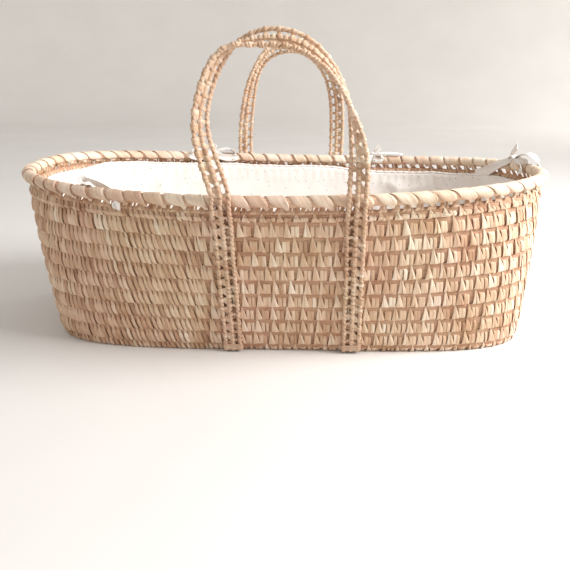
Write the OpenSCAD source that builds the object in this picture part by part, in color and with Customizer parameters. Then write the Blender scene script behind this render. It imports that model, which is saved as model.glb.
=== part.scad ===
// Moses basket: a coiled palm-leaf basket with a roped rim, two openwork handles, a cotton liner
// and a loose mattress. Millimetres, +Z up, X along the length, -Y the front, and the origin on
// the floor under the middle of the rim.

/* [Basket] */
// Length between the centre lines of the rim's rope
rim_l = 820; // [790:5:850]
// Width between the centre lines of the rim's rope
rim_w = 428; // [410:2:446]
// Length over the lowest course
base_l = 768; // [740:4:790]
// Width over the lowest course
base_w = 326; // [310:2:340]
// Height from the floor to the underside of the rim, at mid length
wall_h = 235; // [220:5:250]
// How squarely the rim's ends are rounded: 2 is an ellipse
rim_squareness = 2.44; // [2.2:0.02:2.8]
// How squarely the base's ends are rounded
base_squareness = 4.35; // [3:0.05:5]
// Extra height of the rim at its two ends
end_rise = 14; // [0:1:20]
// How far the rim's middle leans left of the base's middle
rim_lean = 11; // [0:1:14]
// Lift of one diagonal of the rim over the other, as a hand-made rim has
rim_warp = 5; // [0:1:6]

/* [Weave] */
// Number of coiled courses in the wall
course_count = 11; // [11]
// Thickness of a course, through the wall
course_t = 8; // [6:0.5:9]
// Height of the lowest course, which rolls under the edge
foot_h = 13; // [11:0.5:14]
// Height of each of the courses above it; the top one takes what is left
course_pitch = 22.6; // [22.2:0.1:23]
// Diameter of the rim over its leaf wrapping
rim_d = 17.2; // [16:0.2:18]
// Open row between the top course and the rim
lashing_gap = 5.5; // [5:0.1:6.5]
// Number of leaf lashings that hold the rim on the top course
lashing_count = 84; // [60:2:96]

/* [Handles] */
// Diameter of each of the three cords of a handle
cord_d = 6; // [5:0.2:6.4]
// Distance between neighbouring cords of a handle
cord_pitch = 11; // [10:0.2:12]
// Thickness of the lacing between the cords
lacing_t = 3.4; // [2.5:0.1:4]

/* [Liner and mattress] */
// Thickness of the padded liner on the wall
liner_t = 8; // [5:0.5:9]
// Distance from the rim down to the liner's top edge
liner_drop = 14; // [12:1:24]
// Length of the mattress
mattress_l = 700; // [680:5:710]
// Width of the mattress
mattress_w = 280; // [270:2:284]
// Thickness of the mattress
mattress_t = 40; // [30:2:45]

/* [Hidden] */

palm = [0.80, 0.66, 0.50];
palm_dark = [0.68, 0.52, 0.38];
palm_pale = [0.90, 0.80, 0.64];
cotton = [0.96, 0.94, 0.90];
foam_white = [0.92, 0.92, 0.88];

clear = 0.4;            // gap that keeps neighbouring pieces from overlapping
ring_segs = 56;         // flats round a course
plan_segs = 72;         // flats round a flat oval
base_t = 8;             // thickness of the coiled base
base_edge = 16;         // from the lowest course's outer face in to the base's edge
coil_w = 22;            // width of one coil of the base
groove_w = 1.5;
groove_depth = 1.2;
base_sheet_t = 2;       // thickness of the liner's floor
course_top = wall_h - lashing_gap;
rim_r = rim_d / 2;
rim_core_r = rim_r - 2.2;
rim_up = rim_r + 0.2;   // rim's centre above the wall's top
lashing_w = 6;
lashing_t = 3;
liner_low = foot_h + 1;
liner_high = wall_h - liner_drop;
liner_gap = course_t + 0.6;
mattress_z = base_t + base_sheet_t + 2 * clear;
cover_t = 1.5;
piping_d = 2.6;

// A tie's knot, the loops that saddle the rim beside it, and its short upright end
knot_w = 14;
knot_h = 9;
saddle_gap = 1.6;
saddle_t = 3;
saddle_steps = 6;
end_w = 12;
end_t = 3;

// Where the handles' legs stand: their x at the rim and at the floor
leg_front_left = [-78, -72];
leg_front_right = [101, 109];
leg_back_left = [-84, -80];
leg_back_right = [100, 104];
hinge_z = 252;
leg_top = 238;          // legs stop here, clear of the swinging arch
leg_foot = 3;
leg_off = cord_d / 2 + 1;              // leg's centre line off the wall
leg_rim_off = rim_r + cord_d / 2 + 0.6; // and off the rim's centre line
leg_rise = 22;                          // height over which it moves out from wall to rim
rung_w = cord_pitch - cord_d - 4 * clear;
rung_l = 6;

// Centre line of each arch, left to right: x, y, z, and the strap's turn out of the arch's plane
front_route = [
    [-78, -225, 253, 0], [-84, -224, 275, 8], [-93, -220, 302, 24], [-100, -216, 328, 42],
    [-101, -213, 350, 50], [-97, -210, 372, 54], [-89, -207, 396, 56], [-77, -204, 418, 62],
    [-61, -202, 433, 84], [-44, -200, 440, 118], [-26, -199, 444, 140], [-8, -199, 445, 148],
    [10, -199, 443, 146], [28, -199, 437, 140], [45, -201, 426, 132], [61, -203, 411, 118],
    [75, -206, 391, 106], [86, -209, 367, 92], [94, -212, 341, 66], [99, -216, 315, 44],
    [101, -221, 290, 24], [101, -224, 270, 8], [101, -225, 253, 0],
];
back_route = [
    [-84, 225, 253, 0], [-84, 224, 280, 6], [-82, 219, 310, 14], [-78, 214, 340, 26],
    [-73, 211, 368, 40], [-66, 208, 394, 52], [-55, 206, 418, 58], [-41, 204, 437, 50],
    [-24, 203, 449, 34], [-5, 202, 455, 22], [15, 202, 456, 18], [35, 202, 451, 22],
    [54, 204, 439, 28], [70, 206, 422, 30], [83, 208, 401, 26], [92, 211, 376, 18],
    [97, 214, 350, 10], [99, 218, 322, 4], [100, 223, 290, 0], [100, 225, 253, 0],
];

// ---- plan shapes ----

function oval(a, b, n, t) =
    let (c = cos(t), s = sin(t), k = pow(pow(abs(c), n) + pow(abs(s), n), -1 / n))
    [a * k * c, b * k * s];

function oval_outline(a, b, n) = [for (i = [0 : plan_segs - 1]) oval(a, b, n, 360 * i / plan_segs)];

function mix(p, q, s) = p + (q - p) * s;
function half_l(s) = mix(base_l, rim_l, s) / 2;
function half_w(s) = mix(base_w, rim_w, s) / 2;
function squareness(s) = mix(base_squareness, rim_squareness, s);

// Height of a level of the wall: s is 0 at the floor and 1 at the wall's top
function level_z(s, u, v) = s * (wall_h + end_rise * u * u - rim_warp * u * v);

// A point of the wall's outer face at level s and angle t, moved out of the wall by off
function wall_point(s, t, off) =
    let (a = half_l(s) + off, b = half_w(s) + off, q = oval(a, b, squareness(s), t))
    [q[0] + rim_lean * (1 - s), q[1], level_z(s, q[0] / a, q[1] / b)];

// The same at a given x, on the front (side -1) or the back (side 1)
function wall_at_x(z, x, side, off) =
    let (s = z / wall_h, a = half_l(s) + off, b = half_w(s) + off, n = squareness(s),
         u = (x - rim_lean * (1 - s)) / a)
    [x, side * b * pow(1 - pow(abs(u), n), 1 / n), level_z(s, u, side)];

function rim_point(t, off, up) = wall_point(1, t, off) + [0, 0, up];

// ---- solids made from rings of points ----

function join_faces(n, i, j) =
    [for (k = [0 : n - 1]) each
        let (l = (k + 1) % n)
        [[i * n + k, j * n + l, i * n + l], [i * n + k, j * n + k, j * n + l]]];

// A closed hoop: rings is a list of sections, each a list of n points
module hoop(rings) {
    n = len(rings[0]);
    count = len(rings);
    polyhedron(
        [for (r = rings) each r],
        [for (i = [0 : count - 1]) each join_faces(n, i, (i + 1) % count)]);
}

// An open tube with flat ends
module tube(rings) {
    n = len(rings[0]);
    count = len(rings);
    ends = [[for (k = [0 : n - 1]) k], [for (k = [n - 1 : -1 : 0]) (count - 1) * n + k]];
    polyhedron(
        [for (r = rings) each r],
        concat([for (i = [0 : count - 2]) each join_faces(n, i, i + 1)], ends));
}

// A hoop whose section is a profile of [off, z] points on the wall
module wall_hoop(profile) {
    hoop([for (i = [0 : ring_segs - 1])
        [for (p = profile) wall_point(p[1] / wall_h, -360 * i / ring_segs, p[0])]]);
}

// A hoop whose section is a profile of [off, up] points about the rim's centre line
module rim_hoop(profile) {
    hoop([for (i = [0 : ring_segs - 1])
        [for (p = profile) rim_point(-360 * i / ring_segs, p[0], rim_up + p[1])]]);
}

function unit(v) = v / norm(v);
function along(route, i) =
    let (a = route[max(i - 1, 0)], b = route[min(i + 1, len(route) - 1)])
    unit([b[0] - a[0], b[1] - a[1], b[2] - a[2]]);

// Across the strap at point i of a route, towards the inside of the arch
function across(route, i) =
    let (t = along(route, i), w = unit(cross([0, 1, 0], t)), turn = route[i][3])
    w * cos(turn) + cross(t, w) * sin(turn);

function cord_point(route, i, shift) =
    [route[i][0], route[i][1], route[i][2]] + across(route, i) * shift;

// One cord of an arch, shift beside the strap's centre line
module arch_cord(route, shift) {
    color(palm_pale) tube([for (i = [0 : len(route) - 1])
        let (c = cord_point(route, i, shift), w = across(route, i), d = cross(along(route, i), w))
        [for (k = [0 : 5]) c + (w * cos(60 * k) + d * sin(60 * k)) * cord_d / 2]]);
}

// Lacing between the cords of an arch, one rung on each side of every inner point
module arch_lacing(route) {
    color(palm) for (i = [1 : len(route) - 2], side = [-1, 1]) {
        w = across(route, i);
        t = along(route, i);
        d = cross(t, w);
        c = cord_point(route, i, side * cord_pitch / 2);
        multmatrix([[w[0], d[0], t[0], c[0]], [w[1], d[1], t[1], c[1]], [w[2], d[2], t[2], c[2]]])
            cube([rung_w, lacing_t, rung_l], center = true);
    }
}

leg_steps = 10;
function leg_z(i) = mix(leg_foot, leg_top, i / leg_steps);
function leg_off_at(z) =
    let (s = max(0, min(1, (z - wall_h + leg_rise + 2) / leg_rise)))
    mix(leg_off, leg_rim_off, s * s * (3 - 2 * s));

// A point of a leg's centre line, shift beside it
function leg_point(x, side, z, shift) =
    wall_at_x(z, mix(x[1], x[0], z / leg_top) + shift, side, leg_off_at(z));

module leg_cords(x, side) {
    color(palm_pale) for (shift = [-cord_pitch, 0, cord_pitch])
        tube([for (i = [0 : leg_steps])
            let (c = leg_point(x, side, leg_z(i), shift))
            [for (k = [0 : 5]) c + [cos(60 * k), sin(60 * k), 0] * cord_d / 2]]);
}

module leg_lacing(x, side) {
    color(palm) for (i = [0 : leg_steps - 1], shift = [-1, 1])
        translate(leg_point(x, side, leg_z(i + 0.5), shift * cord_pitch / 2))
            cube([rung_w, lacing_t, rung_l], center = true);
}

// ---- basket ----

// An oval concentric with the floor's outline, inset from the lowest course's outer face
module base_oval(inset) {
    polygon(oval_outline(base_l / 2 - inset, base_w / 2 - inset, base_squareness));
}

// The coiled oval base: one flat mat with a groove between its coils
module base_mat() {
    color(palm)
        translate([rim_lean, 0, 0])
            difference() {
                linear_extrude(base_t)
                    base_oval(base_edge);
                for (k = [1 : 5])
                    translate([0, 0, base_t - groove_depth])
                        linear_extrude(2 * groove_depth)
                            difference() {
                                base_oval(base_edge + coil_w * k);
                                base_oval(base_edge + coil_w * k + groove_w);
                            }
            }
}

// One course of the wall; the first rolls under the edge and stands on the floor
module wall_course(k) {
    low = foot_h + course_pitch * (k - 2) + clear / 2;
    high = k == course_count ? course_top : low + course_pitch - clear;
    shoulder = (high - low) * 0.2;
    color(k % 2 == 0 ? palm : palm_dark)
        if (k == 1)
            wall_hoop([[-13, 0], [-5, 0], [-0.5, 4.5], [-0.5, 8.5], [-4, foot_h - clear / 2],
                [-9, foot_h - clear / 2], [-13, 8.5]]);
        else
            wall_hoop([[-course_t / 2, low], [0, low + shoulder], [0, high - shoulder],
                [-course_t / 2, high], [-course_t, high - shoulder], [-course_t, low + shoulder]]);
}

// Angles round the rim's section, from its lower outer side over the top to its lower inner side
rim_angles = [for (k = [0 : 6]) -60 + 50 * k];

module rim_core() {
    color(palm_dark)
        rim_hoop([for (a = concat(rim_angles, [270])) [cos(a), sin(a)] * rim_core_r]);
}

// The broad leaf wrapping, which saddles the core and is open below, where it enters the weave
module rim_wrap() {
    inner_r = rim_core_r + clear;
    color(palm_pale)
        rim_hoop(concat(
            [for (a = rim_angles) [cos(a), sin(a)] * rim_r],
            [for (k = [6 : -1 : 0]) [cos(rim_angles[k]), sin(rim_angles[k])] * inner_r]));
}

// Leaf lashings in the open row between the top course and the rim
module rim_lashing() {
    low = course_top + clear;
    color(palm)
        for (i = [0 : lashing_count - 1]) {
            t = 360 * (i + 0.5) / lashing_count;
            at = wall_point(low / wall_h, t, -course_t / 2);
            next = wall_point(low / wall_h, t + 1, -course_t / 2);
            translate(at)
                rotate([0, 0, atan2(next[1] - at[1], next[0] - at[0])])
                    translate([-lashing_w / 2, -lashing_t / 2, 0])
                        cube([lashing_w, lashing_t, lashing_gap - 3 * clear]);
        }
}

// ---- liner ----

module liner_wall() {
    outer = -liner_gap;
    inner = -liner_gap - liner_t;
    color(cotton)
        wall_hoop([[inner + 2, liner_low], [outer - 2, liner_low], [outer, liner_low + 6],
            [outer, liner_high - 5], [outer - 2, liner_high], [inner + 2, liner_high],
            [inner, liner_high - 5], [inner, liner_low + 6]]);
}

// The stitched band along the liner's top edge
module liner_top_band() {
    outer = -liner_gap - 1;
    inner = -liner_gap - liner_t + 1;
    color(cotton)
        wall_hoop([[inner, liner_high + clear], [outer, liner_high + clear],
            [outer, liner_high + 5], [inner, liner_high + 5]]);
}

// The liner's floor, which lies on the base under the mattress
module liner_base() {
    color(cotton)
        translate([rim_lean, 0, base_t + clear])
            linear_extrude(base_sheet_t)
                base_oval(base_edge + 1);
}

// Angles round the rim's section that a tie's loop covers, from outside to inside
saddle_angles = [for (k = [0 : 5]) 10 + 32 * k];

// A loop of a tie: soft cloth that saddles the rim between angle t0 and the smaller angle t1
module rim_saddle(t0, t1) {
    inner_r = rim_r + saddle_gap;
    profile = concat(
        [for (a = saddle_angles) [cos(a), sin(a)] * (inner_r + saddle_t)],
        [for (k = [5 : -1 : 0]) [cos(saddle_angles[k]), sin(saddle_angles[k])] * inner_r]);
    tube([for (i = [0 : saddle_steps])
        [for (p = profile) rim_point(mix(t0, t1, i / saddle_steps), p[0], rim_up + p[1])]]);
}

// A cotton tie on the rim at angle t: its knot, the loops that run on from it and an upright end
module tie(t, ahead_l, behind_l, end_h) {
    at = rim_point(t, 0, rim_up + rim_r + saddle_gap);
    next = rim_point(t + 1, 0, rim_up + rim_r + saddle_gap);
    mm_per_degree = norm(next - at);
    color(cotton) {
        translate(at)
            rotate([0, 0, atan2(next[1] - at[1], next[0] - at[0])]) {
                translate([-knot_w / 2, -knot_w / 2, 0])
                    cube([knot_w, knot_w, knot_h]);
                translate([-end_w / 2, -end_t / 2, knot_h + clear])
                    cube([end_w, end_t, end_h]);
            }
        rim_saddle(t + behind_l / mm_per_degree, t - ahead_l / mm_per_degree);
    }
}

// ---- mattress ----

module mattress_slab(inset, thickness) {
    linear_extrude(thickness)
        polygon(oval_outline(mattress_l / 2 - inset, mattress_w / 2 - inset, base_squareness));
}

module mattress_cover() {
    color(cotton)
        translate([rim_lean, 0, mattress_z])
            difference() {
                mattress_slab(0, mattress_t);
                translate([0, 0, cover_t])
                    mattress_slab(cover_t, mattress_t - 2 * cover_t);
            }
}

module mattress_foam() {
    gap = cover_t + 0.3;
    color(foam_white)
        translate([rim_lean, 0, mattress_z + gap])
            mattress_slab(gap, mattress_t - 2 * gap);
}

// Piping sewn round the cover's upper and lower edges
module mattress_piping() {
    color(cotton)
        for (z = [1, mattress_t - piping_d - 1])
            translate([rim_lean, 0, mattress_z + z])
                difference() {
                    mattress_slab(-clear - piping_d, piping_d);
                    translate([0, 0, -1])
                        mattress_slab(-clear, piping_d + 2);
                }
}

base_mat();
wall_course(1);  // wall_course_01
wall_course(2);  // wall_course_02
wall_course(3);  // wall_course_03
wall_course(4);  // wall_course_04
wall_course(5);  // wall_course_05
wall_course(6);  // wall_course_06
wall_course(7);  // wall_course_07
wall_course(8);  // wall_course_08
wall_course(9);  // wall_course_09
wall_course(10);  // wall_course_10
wall_course(11);  // wall_course_11
rim_core();
rim_wrap();
rim_lashing();
leg_cords(leg_front_left, -1);  // front_left_leg_cords
leg_lacing(leg_front_left, -1);  // front_left_leg_lacing
leg_cords(leg_front_right, -1);  // front_right_leg_cords
leg_lacing(leg_front_right, -1);  // front_right_leg_lacing
leg_cords(leg_back_left, 1);  // back_left_leg_cords
leg_lacing(leg_back_left, 1);  // back_left_leg_lacing
leg_cords(leg_back_right, 1);  // back_right_leg_cords
leg_lacing(leg_back_right, 1);  // back_right_leg_lacing
arch_cord(front_route, -cord_pitch);  // front_arch_outer_cord
arch_cord(front_route, 0);  // front_arch_centre_cord
arch_cord(front_route, cord_pitch);  // front_arch_inner_cord
arch_lacing(front_route);  // front_arch_lacing
arch_cord(back_route, -cord_pitch);  // back_arch_outer_cord
arch_cord(back_route, 0);  // back_arch_centre_cord
arch_cord(back_route, cord_pitch);  // back_arch_inner_cord
arch_lacing(back_route);  // back_arch_lacing
liner_wall();
liner_top_band();
liner_base();
tie(111, 49, 54, 10);  // tie_back_left
tie(66, 62, 18, 12);  // tie_back_right
tie(17, 64, 12, 20);  // tie_right_end
tie(231, 20, 20, 3);  // tie_front_left
mattress_cover();
mattress_foam();
mattress_piping();
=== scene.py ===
import math
from functools import partial

import bmesh
import bpy
import numpy as np
from mathutils import Matrix, Vector


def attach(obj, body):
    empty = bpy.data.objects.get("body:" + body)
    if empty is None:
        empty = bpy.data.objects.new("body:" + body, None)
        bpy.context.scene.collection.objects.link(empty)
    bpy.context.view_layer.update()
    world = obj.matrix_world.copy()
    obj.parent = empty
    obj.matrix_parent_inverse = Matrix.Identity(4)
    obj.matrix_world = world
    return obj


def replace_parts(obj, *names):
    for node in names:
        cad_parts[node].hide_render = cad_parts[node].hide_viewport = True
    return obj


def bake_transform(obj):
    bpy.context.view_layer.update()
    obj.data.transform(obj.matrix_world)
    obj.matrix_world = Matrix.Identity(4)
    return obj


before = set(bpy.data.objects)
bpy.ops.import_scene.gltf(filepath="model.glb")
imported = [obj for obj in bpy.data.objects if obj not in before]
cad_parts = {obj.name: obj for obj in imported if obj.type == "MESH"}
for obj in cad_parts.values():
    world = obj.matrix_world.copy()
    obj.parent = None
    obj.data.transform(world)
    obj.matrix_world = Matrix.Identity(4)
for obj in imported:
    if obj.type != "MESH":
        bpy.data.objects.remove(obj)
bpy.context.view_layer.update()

# ---- sizes, in millimetres, as in the CAD source ----

MM = 0.001
RIM_L, RIM_W = 820, 428        # between the centre lines of the rim's rope
BASE_L, BASE_W = 768, 326      # over the lowest course
WALL_H = 235                   # floor to the underside of the rim
RIM_N, BASE_N = 2.44, 4.35     # squareness of the rim and of the base
END_RISE, RIM_LEAN, RIM_WARP = 14, 11, 5
COURSES = 11
COURSE_PITCH, FOOT_H, COURSE_TOP = 22.6, 13, 229.5
WALL_T = 8                     # from a course's outer face to its inner one
RIM_UP = 8.8                   # the rope's centre line above the wall
CORD_R, CORD_PITCH = 3.0, 11
LINER_OUT, LINER_T, LINER_LOW, LINER_TOP = -8.8, 8, 14, 224
BASE_EDGE, COIL_W, BASE_COILS = 16, 22, 7
MATTRESS_L, MATTRESS_W, MATTRESS_T, MATTRESS_Z = 700, 280, 40, 10.8

# x of each leg's head and foot
LEGS = {"front_left": (-78, -72), "front_right": (101, 109),
        "back_left": (-84, -80), "back_right": (100, 104)}
# x, y, z and turn of the strap at points from foot to foot of each arch
FRONT_ROUTE = [
    (-78, -225, 253, 0), (-84, -224, 275, 8), (-93, -220, 302, 24), (-100, -216, 328, 42),
    (-101, -213, 350, 50), (-97, -210, 372, 54), (-89, -207, 396, 56), (-77, -204, 418, 62),
    (-61, -202, 433, 84), (-44, -200, 440, 118), (-26, -199, 444, 140), (-8, -199, 445, 148),
    (10, -199, 443, 146), (28, -199, 437, 140), (45, -201, 426, 132), (61, -203, 411, 118),
    (75, -206, 391, 106), (86, -209, 367, 92), (94, -212, 341, 66), (99, -216, 315, 44),
    (101, -221, 290, 24), (101, -224, 270, 8), (101, -225, 253, 0),
]
BACK_ROUTE = [
    (-84, 225, 253, 0), (-84, 224, 280, 6), (-82, 219, 310, 14), (-78, 214, 340, 26),
    (-73, 211, 368, 40), (-66, 208, 394, 52), (-55, 206, 418, 58), (-41, 204, 437, 50),
    (-24, 203, 449, 34), (-5, 202, 455, 22), (15, 202, 456, 18), (35, 202, 451, 22),
    (54, 204, 439, 28), (70, 206, 422, 30), (83, 208, 401, 26), (92, 211, 376, 18),
    (97, 214, 350, 10), (99, 218, 322, 4), (100, 223, 290, 0), (100, 225, 253, 0),
]

TAU = 2 * math.pi


# ---- plan shapes ----

def mix(p, q, s):
    return p + (q - p) * s


def smooth(x, low=0.0, high=1.0):
    s = np.clip((np.asarray(x, float) - low) / (high - low), 0, 1)
    return s * s * (3 - 2 * s)


def norms(vectors):
    return np.linalg.norm(vectors, axis=1)


def along_path(points):
    """The distance along a path to each of its points."""
    return np.concatenate([[0], np.cumsum(norms(np.diff(points, axis=0)))])


def reach_at(t, n):
    """How far from its middle a superellipse of unit half axes lies, at angle t."""
    return (np.abs(np.cos(t)) ** n + np.abs(np.sin(t)) ** n) ** (-1 / n)


def wall(z, t, off):
    """Points of the wall at nominal height z and angle t, off its outer face."""
    z, t, off = np.broadcast_arrays(*(np.asarray(v, float) for v in (z, t, off)))
    s = z / WALL_H
    n = mix(BASE_N, RIM_N, s)
    k = reach_at(t, n)
    u, v = k * np.cos(t), k * np.sin(t)
    x = (mix(BASE_L, RIM_L, s) / 2 + off) * u + RIM_LEAN * (1 - s)
    y = (mix(BASE_W, RIM_W, s) / 2 + off) * v
    return np.stack([x, y, s * (WALL_H + END_RISE * u * u - RIM_WARP * u * v)], -1)


class Ring:
    """The wall's outline at one height, measured along its length."""

    def __init__(self, z, inset=0.0):
        self.angles = np.linspace(0, TAU, 1441)
        self.along = along_path(wall(z, self.angles, -inset)[:, :2])
        self.length = self.along[-1]

    def angle(self, u):
        return np.interp(np.mod(u, self.length), self.along, self.angles)


# ---- meshes ----

def tube_faces(rings, sides, closed=False):
    r = np.arange(rings if closed else rings - 1)[:, None]
    c = np.arange(sides)[None]
    s, d = (r + 1) % rings, (c + 1) % sides
    return np.stack([r * sides + c, r * sides + d, s * sides + d, s * sides + c], -1).reshape(-1, 4)


def cap_faces(rings, sides):
    first = np.array([[i, i + 1, sides - 2 - i, sides - 1 - i] for i in range(sides // 2 - 1)])
    return np.concatenate([first[:, ::-1], first + (rings - 1) * sides])


class Pile:
    """Gathers closed strips and tubes into one mesh, with leaf coordinates and a tint for each."""

    def __init__(self):
        self.points, self.faces, self.uv, self.tint, self.count = [], [], [], [], 0

    def add(self, points, across, along, tint, closed=False):
        """points is (strips, rings, sides, 3); across and along are leaf coordinates in mm."""
        b, r, c, _ = points.shape
        faces = tube_faces(r, c, closed)
        if not closed:
            faces = np.concatenate([faces, cap_faces(r, c)])
        offsets = self.count + np.arange(b)[:, None, None] * r * c
        self.faces.append((faces[None] + offsets).reshape(-1, 4))
        self.points.append(points.reshape(-1, 3))
        uv = np.stack(np.broadcast_arrays(across, along), -1)
        self.uv.append(np.broadcast_to(uv, (b, r, c, 2)).reshape(-1, 2))
        tint = np.asarray(tint, float)
        if tint.ndim == 1:
            tint = tint[:, None, None]
        self.tint.append(np.broadcast_to(tint, (b, r, c)).reshape(-1))
        self.count += b * r * c

    def build(self, name, material, sharp=50):
        return make_mesh(name, np.concatenate(self.points), np.concatenate(self.faces), material,
                         np.concatenate(self.uv), np.concatenate(self.tint), sharp)


def make_mesh(name, points, faces, material, uv, tint, sharp):
    mesh = bpy.data.meshes.new(name)
    mesh.from_pydata((np.asarray(points) * MM).tolist(), [], np.asarray(faces).tolist())
    layer = mesh.uv_layers.new(name="leaf")
    index = np.empty(len(mesh.loops), np.int32)
    mesh.loops.foreach_get("vertex_index", index)
    layer.data.foreach_set("uv", (np.asarray(uv)[index] * MM).astype(np.float32).ravel())
    mesh.attributes.new("tint", "FLOAT", "POINT").data.foreach_set("value", np.asarray(tint, np.float32))
    work = bmesh.new()
    work.from_mesh(mesh)
    bmesh.ops.recalc_face_normals(work, faces=work.faces)
    work.to_mesh(mesh)
    work.free()
    mesh.materials.append(material)
    mesh.shade_smooth()
    mesh.set_sharp_from_angle(angle=math.radians(sharp))
    obj = bpy.data.objects.new(name, mesh)
    bpy.context.scene.collection.objects.link(obj)
    return obj


# A strip's cross-section: share of its width, share of its crown, and share of its thickness
NARROW = np.array([(-0.5, 0, 0), (-0.25, 0.8, 0), (0.25, 0.8, 0), (0.5, 0, 0), (0.32, 0, 1), (-0.32, 0, 1)])
BROAD = np.array([(-0.5, 0, 0), (-0.42, 0.5, 0), (-0.2, 0.9, 0), (0.06, 0.85, 0), (0.3, 0.8, 0),
                  (0.44, 1.15, 0), (0.5, 0.3, 0), (0.4, 0, 1), (0, 0, 1), (-0.4, 0, 1)])


def strips(place, u, v, off, width, crown, thick, tilt=0.0, section=NARROW):
    """Strips whose width runs along u. u, v, off and width are (strips, rings) in mm."""
    u, v, off, width = np.broadcast_arrays(u, v, off, width)
    tilt = np.reshape(tilt, (-1, 1, 1))
    across = width[..., None] * section[:, 0]
    out = np.reshape(crown, (-1, 1, 1)) * section[:, 1] - thick * section[:, 2] + tilt * across
    return place(u[..., None] + across, v[..., None] + 0 * across, off[..., None] + out), across


LEAF = 900            # how far apart, at most, the starts of strips lie on the leaf they are cut from


def cut_from(rng, count):
    """Where on the leaf each strip starts."""
    return rng.uniform(0, LEAF, (count, 1, 1))


# ---- materials ----

def node(tree, kind, inputs=(), **settings):
    made = tree.nodes.new(kind)
    for key, value in settings.items():
        setattr(made, key, value)
    for key, value in dict(inputs).items():
        if isinstance(value, bpy.types.NodeSocket):
            tree.links.new(value, made.inputs[key])
        else:
            made.inputs[key].default_value = value
    return made


def ramp(tree, factor, stops):
    made = node(tree, "ShaderNodeValToRGB", {"Fac": factor})
    elements = made.color_ramp.elements
    while len(elements) < len(stops):
        elements.new(0.5)
    for element, (position, colour) in zip(elements, stops):
        element.position = position
        element.color = (*colour, 1) if len(colour) == 3 else colour
    return made.outputs["Color"]


def grey(tree, factor, low, high, at=(0.0, 1.0)):
    return ramp(tree, factor, [(at[0], (low,) * 3), (at[1], (high,) * 3)])


def tinted(tree, colour, by):
    made = node(tree, "ShaderNodeMix", data_type="RGBA", blend_type="MULTIPLY")
    made.inputs["Factor"].default_value = 1.0
    tree.links.new(colour, made.inputs["A"])
    tree.links.new(by, made.inputs["B"])
    return made.outputs["Result"]


def blended(tree, first, second, factor):
    made = node(tree, "ShaderNodeMix", data_type="RGBA")
    for value, socket in ((factor, "Factor"), (first, "A"), (second, "B")):
        if isinstance(value, bpy.types.NodeSocket):
            tree.links.new(value, made.inputs[socket])
        else:
            made.inputs[socket].default_value = (*value, 1) if socket != "Factor" else value
    return made.outputs["Result"]


def noise(tree, vector, detail, scale=1.0, roughness=0.5):
    return node(tree, "ShaderNodeTexNoise", {"Vector": vector, "Scale": scale, "Detail": detail,
                                             "Roughness": roughness}).outputs["Fac"]


def bumped(tree, shader, height, strength, distance):
    bump = node(tree, "ShaderNodeBump", {"Height": height, "Strength": strength, "Distance": distance})
    tree.links.new(bump.outputs["Normal"], shader.inputs["Normal"])


def new_material(name, roughness, specular=0.35):
    material = bpy.data.materials.new(name)
    material.use_nodes = True
    tree = material.node_tree
    shader = tree.nodes["Principled BSDF"]
    shader.inputs["Roughness"].default_value = roughness
    shader.inputs["Specular IOR Level"].default_value = specular
    return material, tree, shader


def scaled(tree, vector, scale):
    return node(tree, "ShaderNodeMapping", {"Vector": vector, "Scale": scale}).outputs["Vector"]


def leaf_material(name, stops, roughness, fibre=1.0, shine=0.35):
    """Dried palm leaf: a tint for each strip, fine fibres along it, darker blotches and streaks."""
    material, tree, shader = new_material(name, roughness, shine)
    tint = node(tree, "ShaderNodeAttribute", attribute_name="tint").outputs["Fac"]
    uv = node(tree, "ShaderNodeUVMap", uv_map="leaf").outputs["UV"]
    place = node(tree, "ShaderNodeTexCoord").outputs["Object"]
    fibres = noise(tree, scaled(tree, uv, (1500, 45, 1)), 3.0, roughness=0.6)
    streaks = noise(tree, scaled(tree, uv, (420, 28, 1)), 2.0)
    blotches = noise(tree, place, 4.0, scale=26.0)
    colour = ramp(tree, tint, stops)
    colour = tinted(tree, colour, grey(tree, fibres, 1 - 0.26 * fibre, 1.0, (0.3, 0.62)))
    colour = tinted(tree, colour, ramp(tree, streaks, [(0.3, (0.86, 0.78, 0.7)), (0.55, (1, 1, 1))]))
    colour = tinted(tree, colour, ramp(tree, blotches, [(0.32, (0.84, 0.75, 0.68)), (0.6, (1, 1, 1))]))
    drift = noise(tree, place, 3.0, scale=9.0)
    colour = tinted(tree, colour, ramp(tree, drift, [(0.36, (1, 0.93, 0.92)), (0.62, (1, 1, 0.95))]))
    tree.links.new(colour, shader.inputs["Base Color"])
    tree.links.new(grey(tree, streaks, roughness - 0.1, roughness + 0.12), shader.inputs["Roughness"])
    bumped(tree, shader, fibres, 0.5, 0.0005 * fibre)
    return material


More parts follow.
